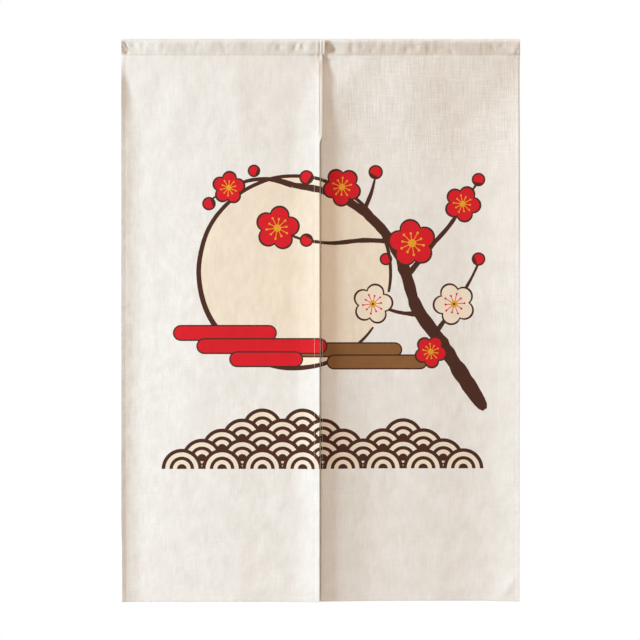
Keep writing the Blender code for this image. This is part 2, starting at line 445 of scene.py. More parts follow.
def pocketHalf(radius, pinch):
    # The angle and place at which a side of the loop leaves its round top, and the side's foot
    drop = curtain["pocketHeight"] - pocket["radius"]
    turn = math.atan2(-drop, pinch) + math.acos(radius / math.hypot(pinch, drop))
    touch = Vector((radius * math.cos(turn), radius * math.sin(turn)))
    foot = Vector((pinch, -drop))
    return turn, touch, foot


def pocketLoop(cloth, x, share):
    # From 0 at the front of the stitch line to 1 at its back: the place there, and the way inwards
    nested = nestShare(cloth, x)
    radius = pocket["radius"] - pocket["nestIn"] * nested
    frontTurn, frontTouch, frontFoot = pocketHalf(radius, pocket["pinch"])
    rearTurn, backTouch, backFoot = pocketHalf(radius, pocket["pinch"] - pocket["nestPinch"] * nested)
    straight = loopSide / loopLength
    if share < straight:
        spot = frontFoot.lerp(frontTouch, share / straight)
        slope = (frontTouch - frontFoot).normalized()
        return Vector((-spot.x, spot.y)), Vector((slope.y, slope.x))
    if share > 1.0 - straight:
        spot = backTouch.lerp(backFoot, (share - 1.0 + straight) / straight)
        slope = (backTouch - backFoot).normalized()
        return spot, Vector((-slope.y, slope.x))
    angle = mix(math.pi - frontTurn, rearTurn, (share - straight) / (1.0 - 2.0 * straight))
    out = Vector((math.cos(angle), math.sin(angle)))
    return out * radius, -out


def loopLengths():
    turn, touch, foot = pocketHalf(pocket["radius"], pocket["pinch"])
    side = (touch - foot).length
    arc = pocket["radius"] * (math.pi - 2.0 * turn)
    return side, arc


loopSide, loopArc = loopLengths()
loopLength = 2.0 * loopSide + loopArc


def drawnIn(rows, x):
    return sum(row["inward"] * math.exp(-((x - row["x"]) / row["halfWidth"]) ** 2) for row in rows)


def pocketDent(cloth, x, y, depth):
    # How far the pocket's cloth lies in from its even loop
    pressed = -sum(softFold(fold, x, depth) for fold in cloth["pressed"])
    pressed *= 1.0 - ease(*pocket["pressedFoot"], depth)
    if y > 0.0:
        return pressed * ease(*pocket["pressedBack"], depth)
    dents = drawnIn(cloth["dents"], x) * between(pocket["dentTop"], pocket["dentFoot"], depth)
    grooves = drawnIn(cloth["pocketGrooves"], x) * ease(*pocket["grooveTop"], depth)
    crumples = -sum(softFold(fold, x, depth) for fold in cloth["crumples"])
    crumples *= between(pocket["crumpleTop"], pocket["crumpleFoot"], depth)
    rippled = sum(row["rise"] * noise.noise(Vector((x / row["across"], depth / row["down"],
                                                    cloth["seed"] + row["seed"])))
                  for row in pocket["ripples"])
    rippled *= between(pocket["rippleTop"], pocket["rippleFoot"], depth)
    return pressed + dents + rippled + crumples + grooves


# One flat cloth, in its own flat measures: u across from the left edge, v down from the stitch line

panelLength = curtain["height"] - curtain["pocketHeight"]
sideTurn = math.pi * curtain["sideHemRadius"]
bottomTurn = math.pi * curtain["bottomHemRadius"]
underTurn = math.pi * pocket["turnRadius"]


def flatWidth(cloth):
    left, right = clothEdges(cloth, curtain["pocketHeight"])
    return right - left


def turnOver(extra, radius):
    # A hem's fold: how far past the edge the cloth still lies, and how far behind
    if extra <= 0.0:
        return 0.0, 0.0
    angle = extra / radius
    if angle < math.pi:
        return radius * math.sin(angle), radius * (1.0 - math.cos(angle))
    return -(extra - math.pi * radius), 2.0 * radius


def layCloth(cloth, u, v):
    # Takes a point of the flat cloth to its place on the hung, hemmed and folded cloth
    width = flatWidth(cloth)
    outLeft, behindLeft = turnOver(-u, curtain["sideHemRadius"])
    outRight, behindRight = turnOver(u - width, curtain["sideHemRadius"])
    behind = behindLeft + behindRight
    within = clamp(u / width)
    if v < 0.0:
        depthGuess = curtain["pocketHeight"]
    else:
        depthGuess = curtain["pocketHeight"] + min(v, panelLength)
    left, right = clothEdges(cloth, depthGuess)
    x = mix(left, right, within) - outLeft + outRight
    if v < 0.0:
        reached = ease(0.0, pocket["overlapRise"], -v) * ease(pocket["overlapFrom"], 1.0, within)
        return pocketPlace(cloth, x + cloth["pocketOverlap"] * reached, -v, behind)
    extra = v - panelLength
    radius = curtain["bottomHemRadius"]
    if extra > 0.0:
        angle = min(extra / radius, math.pi)
        level = curtain["height"] + (radius - behind) * math.sin(angle) - max(0.0, extra - bottomTurn)
        back = radius - (radius - behind) * math.cos(angle)
    else:
        level = curtain["pocketHeight"] + v
        back = behind
    relief = min(level, curtain["height"])
    clampedX = min(max(x, left), right)
    forward = hangForward(cloth, clampedX, relief) + fineRelief(cloth, clampedX, relief)
    return Vector((x, -pocket["pinch"] - forward + back, -level))


def pocketPlace(cloth, x, up, behind):
    stitchLine = curtain["pocketHeight"]
    stitchDip = hangForward(cloth, x, stitchLine) + fineRelief(cloth, x, stitchLine)
    if up <= loopLength:
        spot, inward = pocketLoop(cloth, x, up / loopLength)
        depth = pocket["radius"] - spot.y
        shift = pocketDent(cloth, x, spot.x, depth)
        atStitch = sum(math.exp(-(gap / pocket["stitchReach"]) ** 2) for gap in (up, loopLength - up))
        y = spot.x + inward.x * behind + shift - stitchDip * atStitch
        return Vector((x, y, spot.y + inward.y * behind - pocket["radius"]))
    extra = up - loopLength
    spot, inward = pocketLoop(cloth, x, 1.0)
    upward = Vector((inward.y, -inward.x))
    radius = pocket["turnRadius"]
    angle = min(extra / radius, math.pi)
    straight = max(0.0, extra - underTurn)
    place = spot + inward * radius * (1.0 - math.cos(angle))
    place += upward * (straight - radius * math.sin(angle)) + inward * pocket["turnSpread"] * behind
    return Vector((x, place.x - stitchDip, place.y - pocket["radius"]))


# The print: moon, plum branch, mist bands and wave scales, drawn as outlines in x and depth.
# Later shapes lie over earlier ones, as in screen printing.

printDesign = {
    "levelDepth": 435.0,     # x is as measured across the cloth at this depth
    "moon": {"x": -55.0, "depth": 498.0, "radius": 205.0},
    "moonLine": {"wide": 8.5, "wobble": 1.6, "sweep": (35.0, 372.0)},
    # A blossom's parts, as shares of its radius
    "petal": {"radius": 0.43, "away": 0.57},
    "stamens": {"count": 10, "long": 0.50, "short": 0.42, "tip": 0.055},
    "heart": 0.17,
    "eye": 0.06,
    "outlineWide": 2.4,
    "inkInside": 2.0,
    "mistOutline": 3.2,
    "branchKnots": 0.28,
    "blossomColumns": ("x", "depth", "radius", "turn", "ink"),
    "blossoms": [
        (-92.0, 404.0, 46.0, 10.0, "red"),
        (46.0, 316.0, 40.0, 40.0, "red"),
        (196.0, 436.0, 50.0, -8.0, "red"),
        (304.0, 352.0, 38.0, 25.0, "red"),
        (112.0, 566.0, 42.0, 12.0, "cream"),
        (286.0, 566.0, 44.0, 50.0, "cream"),
        (-196.0, 318.0, 34.0, 5.0, "red"),
        (236.0, 668.0, 34.0, 30.0, "red"),
    ],
    "budColumns": ("x", "depth", "radius", "turn"),
    "buds": [
        (-30.0, 296.0, 13.0, -150.0),
        (-142.0, 282.0, 11.0, 200.0),
        (118.0, 284.0, 13.0, -60.0),
        (338.0, 300.0, 12.0, -80.0),
        (-30.0, 430.0, 12.0, 120.0),
        (338.0, 470.0, 12.0, -20.0),
        (140.0, 470.0, 11.0, 160.0),
        (-238.0, 352.0, 12.0, 160.0),
    ],
    "branchColumns": ("name", "thick", "thin", "route"),
    "branches": [
        ("trunk", 34.0, 13.0, [(352, 792), (302, 716), (252, 640), (206, 574), (182, 500), (150, 430),
                               (96, 372), (24, 330), (-60, 312)]),
        ("tip", 13.0, 4.0, [(-60, 312), (-108, 300), (-164, 306), (-232, 342)]),
        ("upperTwig", 11.0, 3.5, [(92, 368), (108, 330), (118, 292)]),
        ("rightTwig", 13.0, 4.0, [(184, 508), (232, 448), (276, 398), (310, 346), (336, 306)]),
        ("moonTwig", 12.0, 4.0, [(150, 432), (90, 430), (20, 436), (-46, 426), (-92, 402)]),
        ("lowTwig", 12.0, 4.0, [(214, 588), (168, 584), (112, 566)]),
        ("farTwig", 11.0, 4.0, [(246, 628), (276, 586), (318, 520), (340, 474)]),
    ],
    "mistColumns": ("left", "right", "depth", "half", "ink"),
    "mists": [
        (-52.0, 172.0, 664.0, 13.0, "tan"),
        (16.0, 226.0, 690.0, 13.0, "tan"),
        (-312.0, -96.0, 628.0, 14.0, "red"),
        (-262.0, 12.0, 656.0, 14.0, "red"),
        (-192.0, -40.0, 684.0, 14.0, "red"),
    ],
    "waveRadius": 43.0,
    "waveMiddle": 48.0,
    "waveBottom": 918.0,
    "waveRings": [("brown", 1.0), ("cream", 0.82), ("brown", 0.61), ("cream", 0.44), ("brown", 0.24)],
    "waveRowColumns": ("level", "shift", "first", "last"),
    "waveRows": [
        (4, 0.0, -2, -1),
        (3, 0.5, -3, -1),
        (3, 0.5, 1, 1),
        (2, 0.0, -3, 2),
        (1, 0.5, -4, 2),
        (0, 0.0, -4, 3),
    ],
}

printShapes = []


def addShape(ink, outline):
    printShapes.append((ink, np.array(outline, dtype=float)))


def roundOutline(x, depth, radius, steps):
    return [(x + radius * math.cos(2.0 * math.pi * step / steps),
             depth + radius * math.sin(2.0 * math.pi * step / steps)) for step in range(steps)]


def smoothRoute(points, stepsPerSpan):
    # A soft line through the listed points
    ends = [points[0]] + list(points) + [points[-1]]
    route = []
    for index in range(1, len(ends) - 2):
        before, start, end, after = [np.array(ends[index + step], dtype=float) for step in (-1, 0, 1, 2)]
        for step in range(stepsPerSpan):
            share = step / stepsPerSpan
            route.append(0.5 * (2.0 * start + (end - before) * share
                                + (2.0 * before - 5.0 * start + 4.0 * end - after) * share ** 2
                                + (3.0 * start - before - 3.0 * end + after) * share ** 3))
    route.append(np.array(points[-1], dtype=float))
    return np.array(route)


def brushOutline(route, widths):
    # A brush stroke of changing width along a route
    ahead = np.gradient(route, axis=0)
    ahead /= np.linalg.norm(ahead, axis=1)[:, None]
    side = np.stack([-ahead[:, 1], ahead[:, 0]], axis=1) * (np.array(widths) / 2.0)[:, None]
    return np.concatenate([route + side, (route - side)[::-1]])


def drawMoon(moon):
    addShape("cream", roundOutline(moon["x"], moon["depth"], moon["radius"], 110))
    line = printDesign["moonLine"]
    turns = np.radians(np.linspace(*line["sweep"], 130))
    wobble = [noise.noise(Vector((3.0 * math.cos(turn), 3.0 * math.sin(turn), 2.0))) for turn in turns]
    reach = moon["radius"] + line["wobble"] * np.array(wobble)
    route = np.stack([moon["x"] + reach * np.cos(turns), moon["depth"] + reach * np.sin(turns)], axis=1)
    spread = np.linspace(0.0, 1.0, len(turns))
    # Pressed harder in the middle of the stroke, and never quite evenly
    pressure = 0.45 + 0.75 * np.sin(math.pi * spread) ** 0.5 + 0.25 * np.sin(7.0 * spread)
    widths = line["wide"] * pressure
    addShape("brown", brushOutline(route, widths))


def drawMist(row):
    for ink, half in (("brown", row["half"] + printDesign["mistOutline"]), (row["ink"], row["half"])):
        ends = []
        for middle, start in ((row["right"] - row["half"], -90.0), (row["left"] + row["half"], 90.0)):
            for step in range(11):
                turn = math.radians(start + 18.0 * step)
                ends.append((middle + half * math.cos(turn), row["depth"] + half * math.sin(turn)))
        addShape(ink, ends)


def blossomOutline(row, grow):
    # Five round petals, as the outline of five overlapping circles
    petal = printDesign["petal"]["radius"] * row["radius"]
    away = printDesign["petal"]["away"] * row["radius"]
    outline = []
    for step in range(60):
        turn = 6.0 * step
        off = math.radians((turn + 36.0) % 72.0 - 36.0)
        reach = away * math.cos(off) + math.sqrt(petal ** 2 - (away * math.sin(off)) ** 2) + grow
        aim = math.radians(turn + row["turn"])
        outline.append((row["x"] + reach * math.sin(aim), row["depth"] - reach * math.cos(aim)))
    return outline


def drawBlossom(row):
    addShape("brown", blossomOutline(row, printDesign["outlineWide"]))
    addShape(row["ink"], blossomOutline(row, -printDesign["inkInside"]))
    threads = "gold" if row["ink"] == "red" else "red"
    stamens = printDesign["stamens"]
    for step in range(stamens["count"]):
        aim = math.radians(360.0 / stamens["count"] * step + row["turn"])
        reach = row["radius"] * stamens["long" if step % 2 else "short"]
        tip = (row["x"] + reach * math.sin(aim), row["depth"] - reach * math.cos(aim))
        addShape(threads, brushOutline(np.linspace((row["x"], row["depth"]), tip, 3), [1.4, 1.6, 1.8]))
        addShape(threads, roundOutline(tip[0], tip[1], stamens["tip"] * row["radius"], 8))
    addShape("gold", roundOutline(row["x"], row["depth"], printDesign["heart"] * row["radius"], 16))
    if row["ink"] == "cream":
        addShape("brown", roundOutline(row["x"], row["depth"], printDesign["eye"] * row["radius"], 10))


def drawBud(row):
    addShape("brown", roundOutline(row["x"], row["depth"], row["radius"] + 2.6, 24))
    addShape("red", roundOutline(row["x"], row["depth"], row["radius"] - 1.0, 24))
    aim = math.radians(row["turn"])
    cup = [(row["x"] - 0.95 * row["radius"] * math.cos(aim + turn),
            row["depth"] - 0.95 * row["radius"] * math.sin(aim + turn))
           for turn in np.linspace(-1.0, 1.0, 9)]
    addShape("brown", cup)


def drawBranch(row, seed):
    route = smoothRoute(row["route"], 7)
    knots = [noise.noise(Vector((0.05 * place[0], 0.05 * place[1], seed))) for place in route]
    uneven = 1.0 + printDesign["branchKnots"] * np.array(knots)
    widths = np.linspace(row["thick"], row["thin"], len(route)) * uneven
    if row["name"] == "trunk":    # its foot is rounded off
        widths[:5] *= np.array([0.30, 0.62, 0.84, 0.95, 0.99])
    addShape("brown", brushOutline(route, widths))


def drawWaves(design):
    radius = design["waveRadius"]
    for row in named(design["waveRowColumns"], design["waveRows"]):
        depth = design["waveBottom"] - row["level"] * radius / 2.0
        below = 30.0 if row["level"] > 0 else 0.0
        for place in range(row["first"], row["last"] + 1):
            x = design["waveMiddle"] + 2.0 * radius * (place + row["shift"])
            for ink, share in design["waveRings"]:
                arc = [(x - share * radius * math.cos(math.radians(turn)),
                        depth - share * radius * math.sin(math.radians(turn)))
                       for turn in np.linspace(-below, 180.0 + below, 40)]
                addShape(ink, arc)


drawMoon(printDesign["moon"])
for mistRow in named(printDesign["mistColumns"], printDesign["mists"]):
    drawMist(mistRow)
drawWaves(printDesign)
for branchSeed, branchRow in enumerate(named(printDesign["branchColumns"], printDesign["branches"])):
    drawBranch(branchRow, float(branchSeed))
for budRow in named(printDesign["budColumns"], printDesign["buds"]):
    drawBud(budRow)
for blossomRow in named(printDesign["blossomColumns"], printDesign["blossoms"]):
    drawBlossom(blossomRow)
print("print drawn:", len(printShapes), "shapes")


# Materials

def linearColour(hexCode):
    # sRGB hex to linear, with full alpha
    channels = [int(hexCode[place:place + 2], 16) / 255.0 for place in (0, 2, 4)]
    return tuple(c / 12.92 if c <= 0.04045 else ((c + 0.055) / 1.055) ** 2.4 for c in channels) + (1.0,)


def addNode(tree, kind, settings=None, links=None, values=None, **inputs):
    # Inputs that share a name with others are given by their number in links and values
    node = tree.nodes.new(kind)
    for key, value in (settings or {}).items():
        setattr(node, key, value)
    for key, value in (values or {}).items():
        node.inputs[key].default_value = value
    for key, value in inputs.items():
        node.inputs[key.replace("_", " ")].default_value = value
    for key, source in (links or {}).items():
        tree.links.new(source, node.inputs[key])
    return node


# Washed cotton and linen, plain woven from unbleached yarn with slubs: matt, slightly warm, with faint
# thick and thin threads both ways. The real yarn is 0.6 mm apart, too fine for a 2 mm pixel, so the
# threads that show are drawn 2.4 mm apart.
weave = {
    "threadPitch": 2.4,
    "threadLength": 46.0,
    "threadContrast": 0.27,
    "patch": 52.0,
    "patchRange": (0.3, 0.7),
    "levelThreads": 0.65,    # the warp shows more than the weft
    "roughness": 0.88,
    "specular": 0.22,
    "sheen": 0.12,
    "sheenRoughness": 0.55,
    "bumpDistance": 0.2,
    "slubDepth": 0.15,
    "patchDepth": 0.12,
    "pocketPaintedShadeDepth": (0.25, 0.33),    # painted shade: the pocket band is darkened and warmed in the colour, more on the right cloth
    "pocketPaintedShadeX": (0.0, 30.0),
    "pocketPaintedShadeTop": (-34.0, -20.0),
    "pocketPaintedShadeFoot": (-4.0, 0.8),
    "pocketPaintedShadeHex": "C6B197",
    "seamPlace": -0.5,
    "seamDepth": 0.48,       # the thin shadow that the pocket's seam keeps in its dip
    "seamWidth": 1.7,
    "cockleAcross": 30.0,    # washed cloth never lies quite flat between its threads
    "cockleDown": 34.0,
    "cockleHeight": 1.9,
    "calm": (0.4, 1.3),      # least and most of the slubs' strength, from place to place
    "calmRange": (0.36, 0.64),
    "calmPatch": 120.0,
    "crispTop": 1.7,         # the right cloth's upper part shows its yarn the most
    "crispX": (10.0, 70.0),
    "crispDepth": (-340.0, -200.0),
    "inkSmooths": 0.4,
}


def threadNoise(tree, flat, across, along, detail):
    # Noise on the flat cloth, with its grain's width and length in millimetres
    scale = (1.0 / (across * mm), 1.0 / (along * mm), 1.0)
    stretch = addNode(tree, "ShaderNodeMapping", links={"Vector": flat}, Scale=scale)
    field = addNode(tree, "ShaderNodeTexNoise", links={"Vector": stretch.outputs["Vector"]},
                    Scale=1.0, Detail=detail, Roughness=0.55)
    return field.outputs["Fac"]


def clothMaterial(name, baseHex, shadeHex, inkCover=0.0):
    material = bpy.data.materials.new(name)
    material.use_nodes = True
    tree = material.node_tree
    tree.nodes.clear()
    soft = {"interpolation_type": "SMOOTHSTEP"}
    flat = addNode(tree, "ShaderNodeUVMap", {"uv_map": "flatCloth"}).outputs["UV"]
    upright = threadNoise(tree, flat, weave["threadPitch"], weave["threadLength"], 2.0)
    level = threadNoise(tree, flat, weave["threadLength"], weave["threadPitch"], 2.0)
    patches = threadNoise(tree, flat, weave["patch"], weave["patch"], 3.0)
    cockle = threadNoise(tree, flat, weave["cockleAcross"], weave["cockleDown"], 1.6)
    calm = threadNoise(tree, flat, weave["calmPatch"], weave["calmPatch"], 2.0)
    threads = addNode(tree, "ShaderNodeMath", {"operation": "MULTIPLY_ADD"}, {0: level, 2: upright},
                      {1: weave["levelThreads"]})
    middle = 0.5 + 0.5 * weave["levelThreads"]
    contrast = weave["threadContrast"]
    both = addNode(tree, "ShaderNodeMapRange", links={"Value": threads.outputs[0]},
                   From_Min=middle - contrast, From_Max=middle + contrast, To_Min=-1.0, To_Max=1.0)
    place = addNode(tree, "ShaderNodeTexCoord").outputs["Object"]
    hung = addNode(tree, "ShaderNodeSeparateXYZ", links={"Vector": place})
    low, high = weave["crispX"]
    rightPart = addNode(tree, "ShaderNodeMapRange", soft, {"Value": hung.outputs["X"]},
                        From_Min=low * mm, From_Max=high * mm, To_Min=0.0, To_Max=weave["crispTop"])
    low, high = weave["crispDepth"]
    crisp = addNode(tree, "ShaderNodeMapRange", soft,
                    {"Value": hung.outputs["Z"], "To Max": rightPart.outputs[0]},
                    From_Min=low * mm, From_Max=high * mm, To_Min=0.0)
    low, high = weave["calmRange"]
    liveliness = addNode(tree, "ShaderNodeMapRange", links={"Value": calm}, From_Min=low, From_Max=high,
                         To_Min=weave["calm"][0], To_Max=weave["calm"][1])
    strength = addNode(tree, "ShaderNodeMath", {"operation": "ADD"},
                       {0: liveliness.outputs[0], 1: crisp.outputs[0]})
    lively = addNode(tree, "ShaderNodeMath", {"operation": "MULTIPLY"},
                     {0: both.outputs[0], 1: strength.outputs[0]})
    depth = weave["slubDepth"] * (1.0 - weave["inkSmooths"] * inkCover)
    slubShade = addNode(tree, "ShaderNodeMapRange", {"clamp": False}, {"Value": lively.outputs[0]},
                        From_Min=-1.0, From_Max=1.0, To_Min=depth, To_Max=0.0)
    low, high = weave["patchRange"]
    patchShade = addNode(tree, "ShaderNodeMapRange", links={"Value": patches},
                         From_Min=low, From_Max=high, To_Min=weave["patchDepth"], To_Max=0.0)
    # Painted shade: the pocket band is darkened and warmed in the colour, more on the right cloth, and
    # fades out towards the top edge; a thin painted shadow follows the pocket's seam
    downCloth = addNode(tree, "ShaderNodeSeparateXYZ", links={"Vector": flat}).outputs["Y"]
    low, high = weave["pocketPaintedShadeX"]
    leftPaintedShade, rightPaintedShade = weave["pocketPaintedShadeDepth"]
    pocketShadeAcross = addNode(tree, "ShaderNodeMapRange", links={"Value": hung.outputs["X"]},
                        From_Min=low * mm, From_Max=high * mm, To_Min=leftPaintedShade, To_Max=rightPaintedShade)
    low, high = weave["pocketPaintedShadeTop"]
    pocketShadeBelowTop = addNode(tree, "ShaderNodeMapRange", soft,
                       {"Value": downCloth, "To Max": pocketShadeAcross.outputs[0]},
                       From_Min=low * mm, From_Max=high * mm, To_Min=0.0)
    low, high = weave["pocketPaintedShadeFoot"]
    pocketPaintedShade = addNode(tree, "ShaderNodeMapRange", soft, {"Value": downCloth, "To Min": pocketShadeBelowTop.outputs[0]},
                      From_Min=low * mm, From_Max=high * mm, To_Max=0.0)
    fromSeam = addNode(tree, "ShaderNodeMath", {"operation": "SUBTRACT"}, {0: downCloth},
                       {1: weave["seamPlace"] * mm})
    besideSeam = addNode(tree, "ShaderNodeMath", {"operation": "ABSOLUTE"}, {0: fromSeam.outputs[0]})
    seam = addNode(tree, "ShaderNodeMapRange", soft, {"Value": besideSeam.outputs[0]},
                   From_Min=0.0, From_Max=weave["seamWidth"] * mm, To_Min=weave["seamDepth"], To_Max=0.0)
    paintedShade = addNode(tree, "ShaderNodeMath", {"operation": "ADD"},
                      {0: pocketPaintedShade.outputs[0], 1: seam.outputs[0]})
    woven = addNode(tree, "ShaderNodeMath", {"operation": "ADD"},
                    {0: slubShade.outputs[0], 1: patchShade.outputs[0]})
    single = addNode(tree, "ShaderNodeMix", {"data_type": "RGBA"}, {0: woven.outputs[0]},
                     {6: linearColour(baseHex), 7: linearColour(shadeHex)})
    colour = addNode(tree, "ShaderNodeMix", {"data_type": "RGBA"},
                     {0: paintedShade.outputs[0], 6: single.outputs[2]}, {7: linearColour(weave["pocketPaintedShadeHex"])})
    waviness = addNode(tree, "ShaderNodeBump", links={"Height": cockle},
                       Strength=1.0, Distance=weave["cockleHeight"] * mm)
    bump = addNode(tree, "ShaderNodeBump",
                   links={"Height": lively.outputs[0], "Normal": waviness.outputs["Normal"]},
                   Strength=0.5, Distance=0.5 * weave["bumpDistance"] * mm)
    shader = addNode(tree, "ShaderNodeBsdfPrincipled",
                     links={"Base Color": colour.outputs[2], "Normal": bump.outputs["Normal"]},
                     Roughness=weave["roughness"], Specular_IOR_Level=weave["specular"],
                     Sheen_Weight=weave["sheen"], Sheen_Roughness=weave["sheenRoughness"])
    addNode(tree, "ShaderNodeOutputMaterial", links={"Surface": shader.outputs["BSDF"]})
    return material


# Pigment inks, screen printed: flat and matt on the face, and faint where they strike through to the back
inks = {
    "cloth": ("EFE8DA", "AA9B83"),
    "cream": ("F0DEC2", "B79C78"),
    "red": ("D9101C", "8E0810"),
    "tan": ("8A5C2E", "54351A"),
    "brown": ("4A2411", "2A1208"),
    "gold": ("E6A01C", "9A6410"),
}
inkOrder = list(inks)


def blendHex(first, second, share):
    pairs = [(int(first[place:place + 2], 16), int(second[place:place + 2], 16)) for place in (0, 2, 4)]
    return "".join("%02X" % round(mix(low, high, share)) for low, high in pairs)


strikeThrough = 0.22
clothMaterials = []
for inkName in inkOrder:
    face, shaded = inks[inkName]
    cover = 0.0 if inkName == "cloth" else 1.0
    title = "cottonLinenPlainWeave" if inkName == "cloth" else "pigmentPrint" + inkName.capitalize()
    clothMaterials.append(clothMaterial(title, face, shaded, cover))
for inkName in inkOrder:
    face, shaded = inks[inkName]
    plainFace, plainShaded = inks["cloth"]
    title = "cottonLinenReverse" if inkName == "cloth" else "strikeThrough" + inkName.capitalize()
    clothMaterials.append(clothMaterial(title, blendHex(plainFace, face, strikeThrough),
                                        blendHex(plainShaded, shaded, strikeThrough)))
print("cloth and ink materials made:", len(clothMaterials))


# Meshing the cloth: a grid of flat points, closer at hems and folds, with the print's outlines in it

meshing = {
    "step": 8.0,
    "rowStep": 7.5,
    "edgeSteps": [0.9, 1.8, 2.7, 3.6, 4.5, 5.4, 6.2, 7.0, 7.8, 8.5, 9.2, 9.9, 10.8, 12.0, 13.1, 14.2,
                  15.3, 17.0, 20.0, 25.0],
    "turnSteps": 6,
    "pocketRows": (-33.0, -1.0),
    "clearOfLine": 0.01,     # an outline's point this near a grid line isn't doubled
    "merge": 0.0001,
}


def spaced(start, end, step):
    count = max(1, round((end - start) / step))
    return [mix(start, end, place / count) for place in range(count)]


def turnLines(radius, length):
    # Lines across a hem's fold and its flap, measured out from the edge
    turn = [math.pi * radius * place / meshing["turnSteps"] for place in range(1, meshing["turnSteps"] + 1)]
    return turn + [math.pi * radius + length * share for share in (0.3, 0.65, 1.0)]


def acrossLines(cloth):
    width = flatWidth(cloth)
    flap = turnLines(curtain["sideHemRadius"], curtain["sideHem"])
    edge = meshing["edgeSteps"]
    middle = spaced(edge[-1], width - edge[-1], meshing["step"])
    return ([-line for line in reversed(flap)] + [0.0] + edge[:-1] + middle
            + [width - line for line in reversed(edge)] + [width] + [width + line for line in flap])


def downLines():
    flap = turnLines(curtain["bottomHemRadius"], curtain["bottomHem"])
    under = [loopLength + line for line in turnLines(pocket["turnRadius"], pocket["turnUnder"])]
    loop = [0.0, 0.8, 1.7] + spaced(3.0, loopSide, 2.6) + spaced(loopSide, loopSide + loopArc, 1.6)
    loop += spaced(loopSide + loopArc, loopLength, 4.0) + [loopLength]
    nearStitch = [1.2, 2.6, 4.4, 7.0, 10.0]
    rows = spaced(nearStitch[-1], panelLength - 18.0, meshing["rowStep"])
    nearHem = [panelLength - line for line in (18.0, 15.0, 12.5, 10.0, 7.0, 4.0, 2.0)]
    return ([-line for line in reversed(under)] + [-line for line in reversed(loop)]
            + nearStitch[:-1] + rows + nearHem + [panelLength] + [panelLength + line for line in flap])


def toFlat(cloth, outline):
    # From x and depth on the hung cloth to its flat measures
    left, right = clothEdges(cloth, printDesign["levelDepth"])
    width = flatWidth(cloth)
    return np.stack([(outline[:, 0] - left) / (right - left) * width,
                     outline[:, 1] - curtain["pocketHeight"]], axis=1)


def clipAcross(outline, limit, sign):
    # What is left of an outline on one side of an upright line
    kept = []
    for start, end in zip(outline, np.roll(outline, -1, axis=0)):
        startIn = sign * (limit - start[0]) >= 0.0
        endIn = sign * (limit - end[0]) >= 0.0
        if startIn:
            kept.append(start)
        if startIn != endIn:
            kept.append(start + (end - start) * (limit - start[0]) / (end[0] - start[0]))
    return np.array(kept)


def followGrid(outline, across, down):
    # Adds a point wherever an outline crosses the grid, so that it follows each fold of the cloth
    clear = meshing["clearOfLine"]
    points = []
    for start, end in zip(outline, np.roll(outline, -1, axis=0)):
        shares = {0.0}
        for axis, lines in ((0, across), (1, down)):
            reach = end[axis] - start[axis]
            low, high = sorted((start[axis], end[axis]))
            first, last = np.searchsorted(lines, (low + clear, high - clear))
            shares.update((line - start[axis]) / reach for line in lines[first:last])
        points += [start + (end - start) * share for share in sorted(shares)]
    return np.array(points)


def insideOutline(points, outline):
    x, y = points[:, 0], points[:, 1]
    inside = np.zeros(len(points), dtype=bool)
    for start, end in zip(outline, np.roll(outline, -1, axis=0)):
        crosses = (start[1] > y) != (end[1] > y)
        rise = end[1] - start[1]
        if rise != 0.0:
            inside ^= crosses & (x < (end[0] - start[0]) * (y - start[1]) / rise + start[0])
    return inside


def meshCloth(cloth):
    across = acrossLines(cloth)
    down = downLines()
    width = flatWidth(cloth)
    points = [Vector((u, v)) for v in down for u in across]
    wide = len(across)
    # The pocket's face is crumpled more finely than the rest
    first, last = meshing["pocketRows"]
    points += [Vector((mix(u, after, share), v)) for v in down if first <= v <= last
               for u, after in zip(across, across[1:]) if after - u > 4.0 for share in (0.25, 0.5, 0.75)]
    edges = []
    for column in range(wide - 1):
        edges.append((column, column + 1))
        edges.append(((len(down) - 1) * wide + column, (len(down) - 1) * wide + column + 1))
    for row in range(len(down) - 1):
        edges.append((row * wide, (row + 1) * wide))
        edges.append((row * wide + wide - 1, (row + 1) * wide + wide - 1))
    outlines = []
    inkLeft, inkRight = -0.5 * sideTurn, width + 0.5 * sideTurn
    for ink, outline in printShapes:
        flat = clipAcross(toFlat(cloth, outline), inkRight, 1.0)
        if len(flat):
            flat = clipAcross(flat, inkLeft, -1.0)
        if len(flat) < 3:
            continue
        flat = followGrid(flat, np.array(across), np.array(down))
        outlines.append((inkOrder.index(ink), flat))
        first = len(points)
        count = len(flat)
        points += [Vector((u, v)) for u, v in flat]
        edges += [(first + place, first + (place + 1) % count) for place in range(count)]
    found = delaunay_2d_cdt(points, edges, [], 0, meshing["merge"])
    flatPoints = np.array([(point.x, point.y) for point in found[0]])
    faces = np.array([(face[0], face[place], face[place + 1]) for face in found[2]
                      for place in range(1, len(face) - 1)])
    middles = flatPoints[faces].mean(axis=1)
    low = (across[0], down[0])
    high = (across[-1], down[-1])
    keep = ((middles > low) & (middles < high)).all(axis=1)
    faces = faces[keep]
    middles = middles[keep]
    inkIndex = np.zeros(len(faces), dtype=int)
    onFace = (middles[:, 0] > inkLeft) & (middles[:, 0] < inkRight)
    for index, flat in outlines:
        near = ((middles > flat.min(axis=0)) & (middles < flat.max(axis=0))).all(axis=1) & onFace
        chosen = np.flatnonzero(near)
        if len(chosen):
            inkIndex[chosen[insideOutline(middles[chosen], flat)]] = index
    used, renumbered = np.unique(faces, return_inverse=True)
    return flatPoints[used], renumbered.reshape(faces.shape), inkIndex


def linkPiece(name, mesh):
    piece = bpy.data.objects.new(name, mesh)
    bpy.context.scene.collection.objects.link(piece)
    return piece


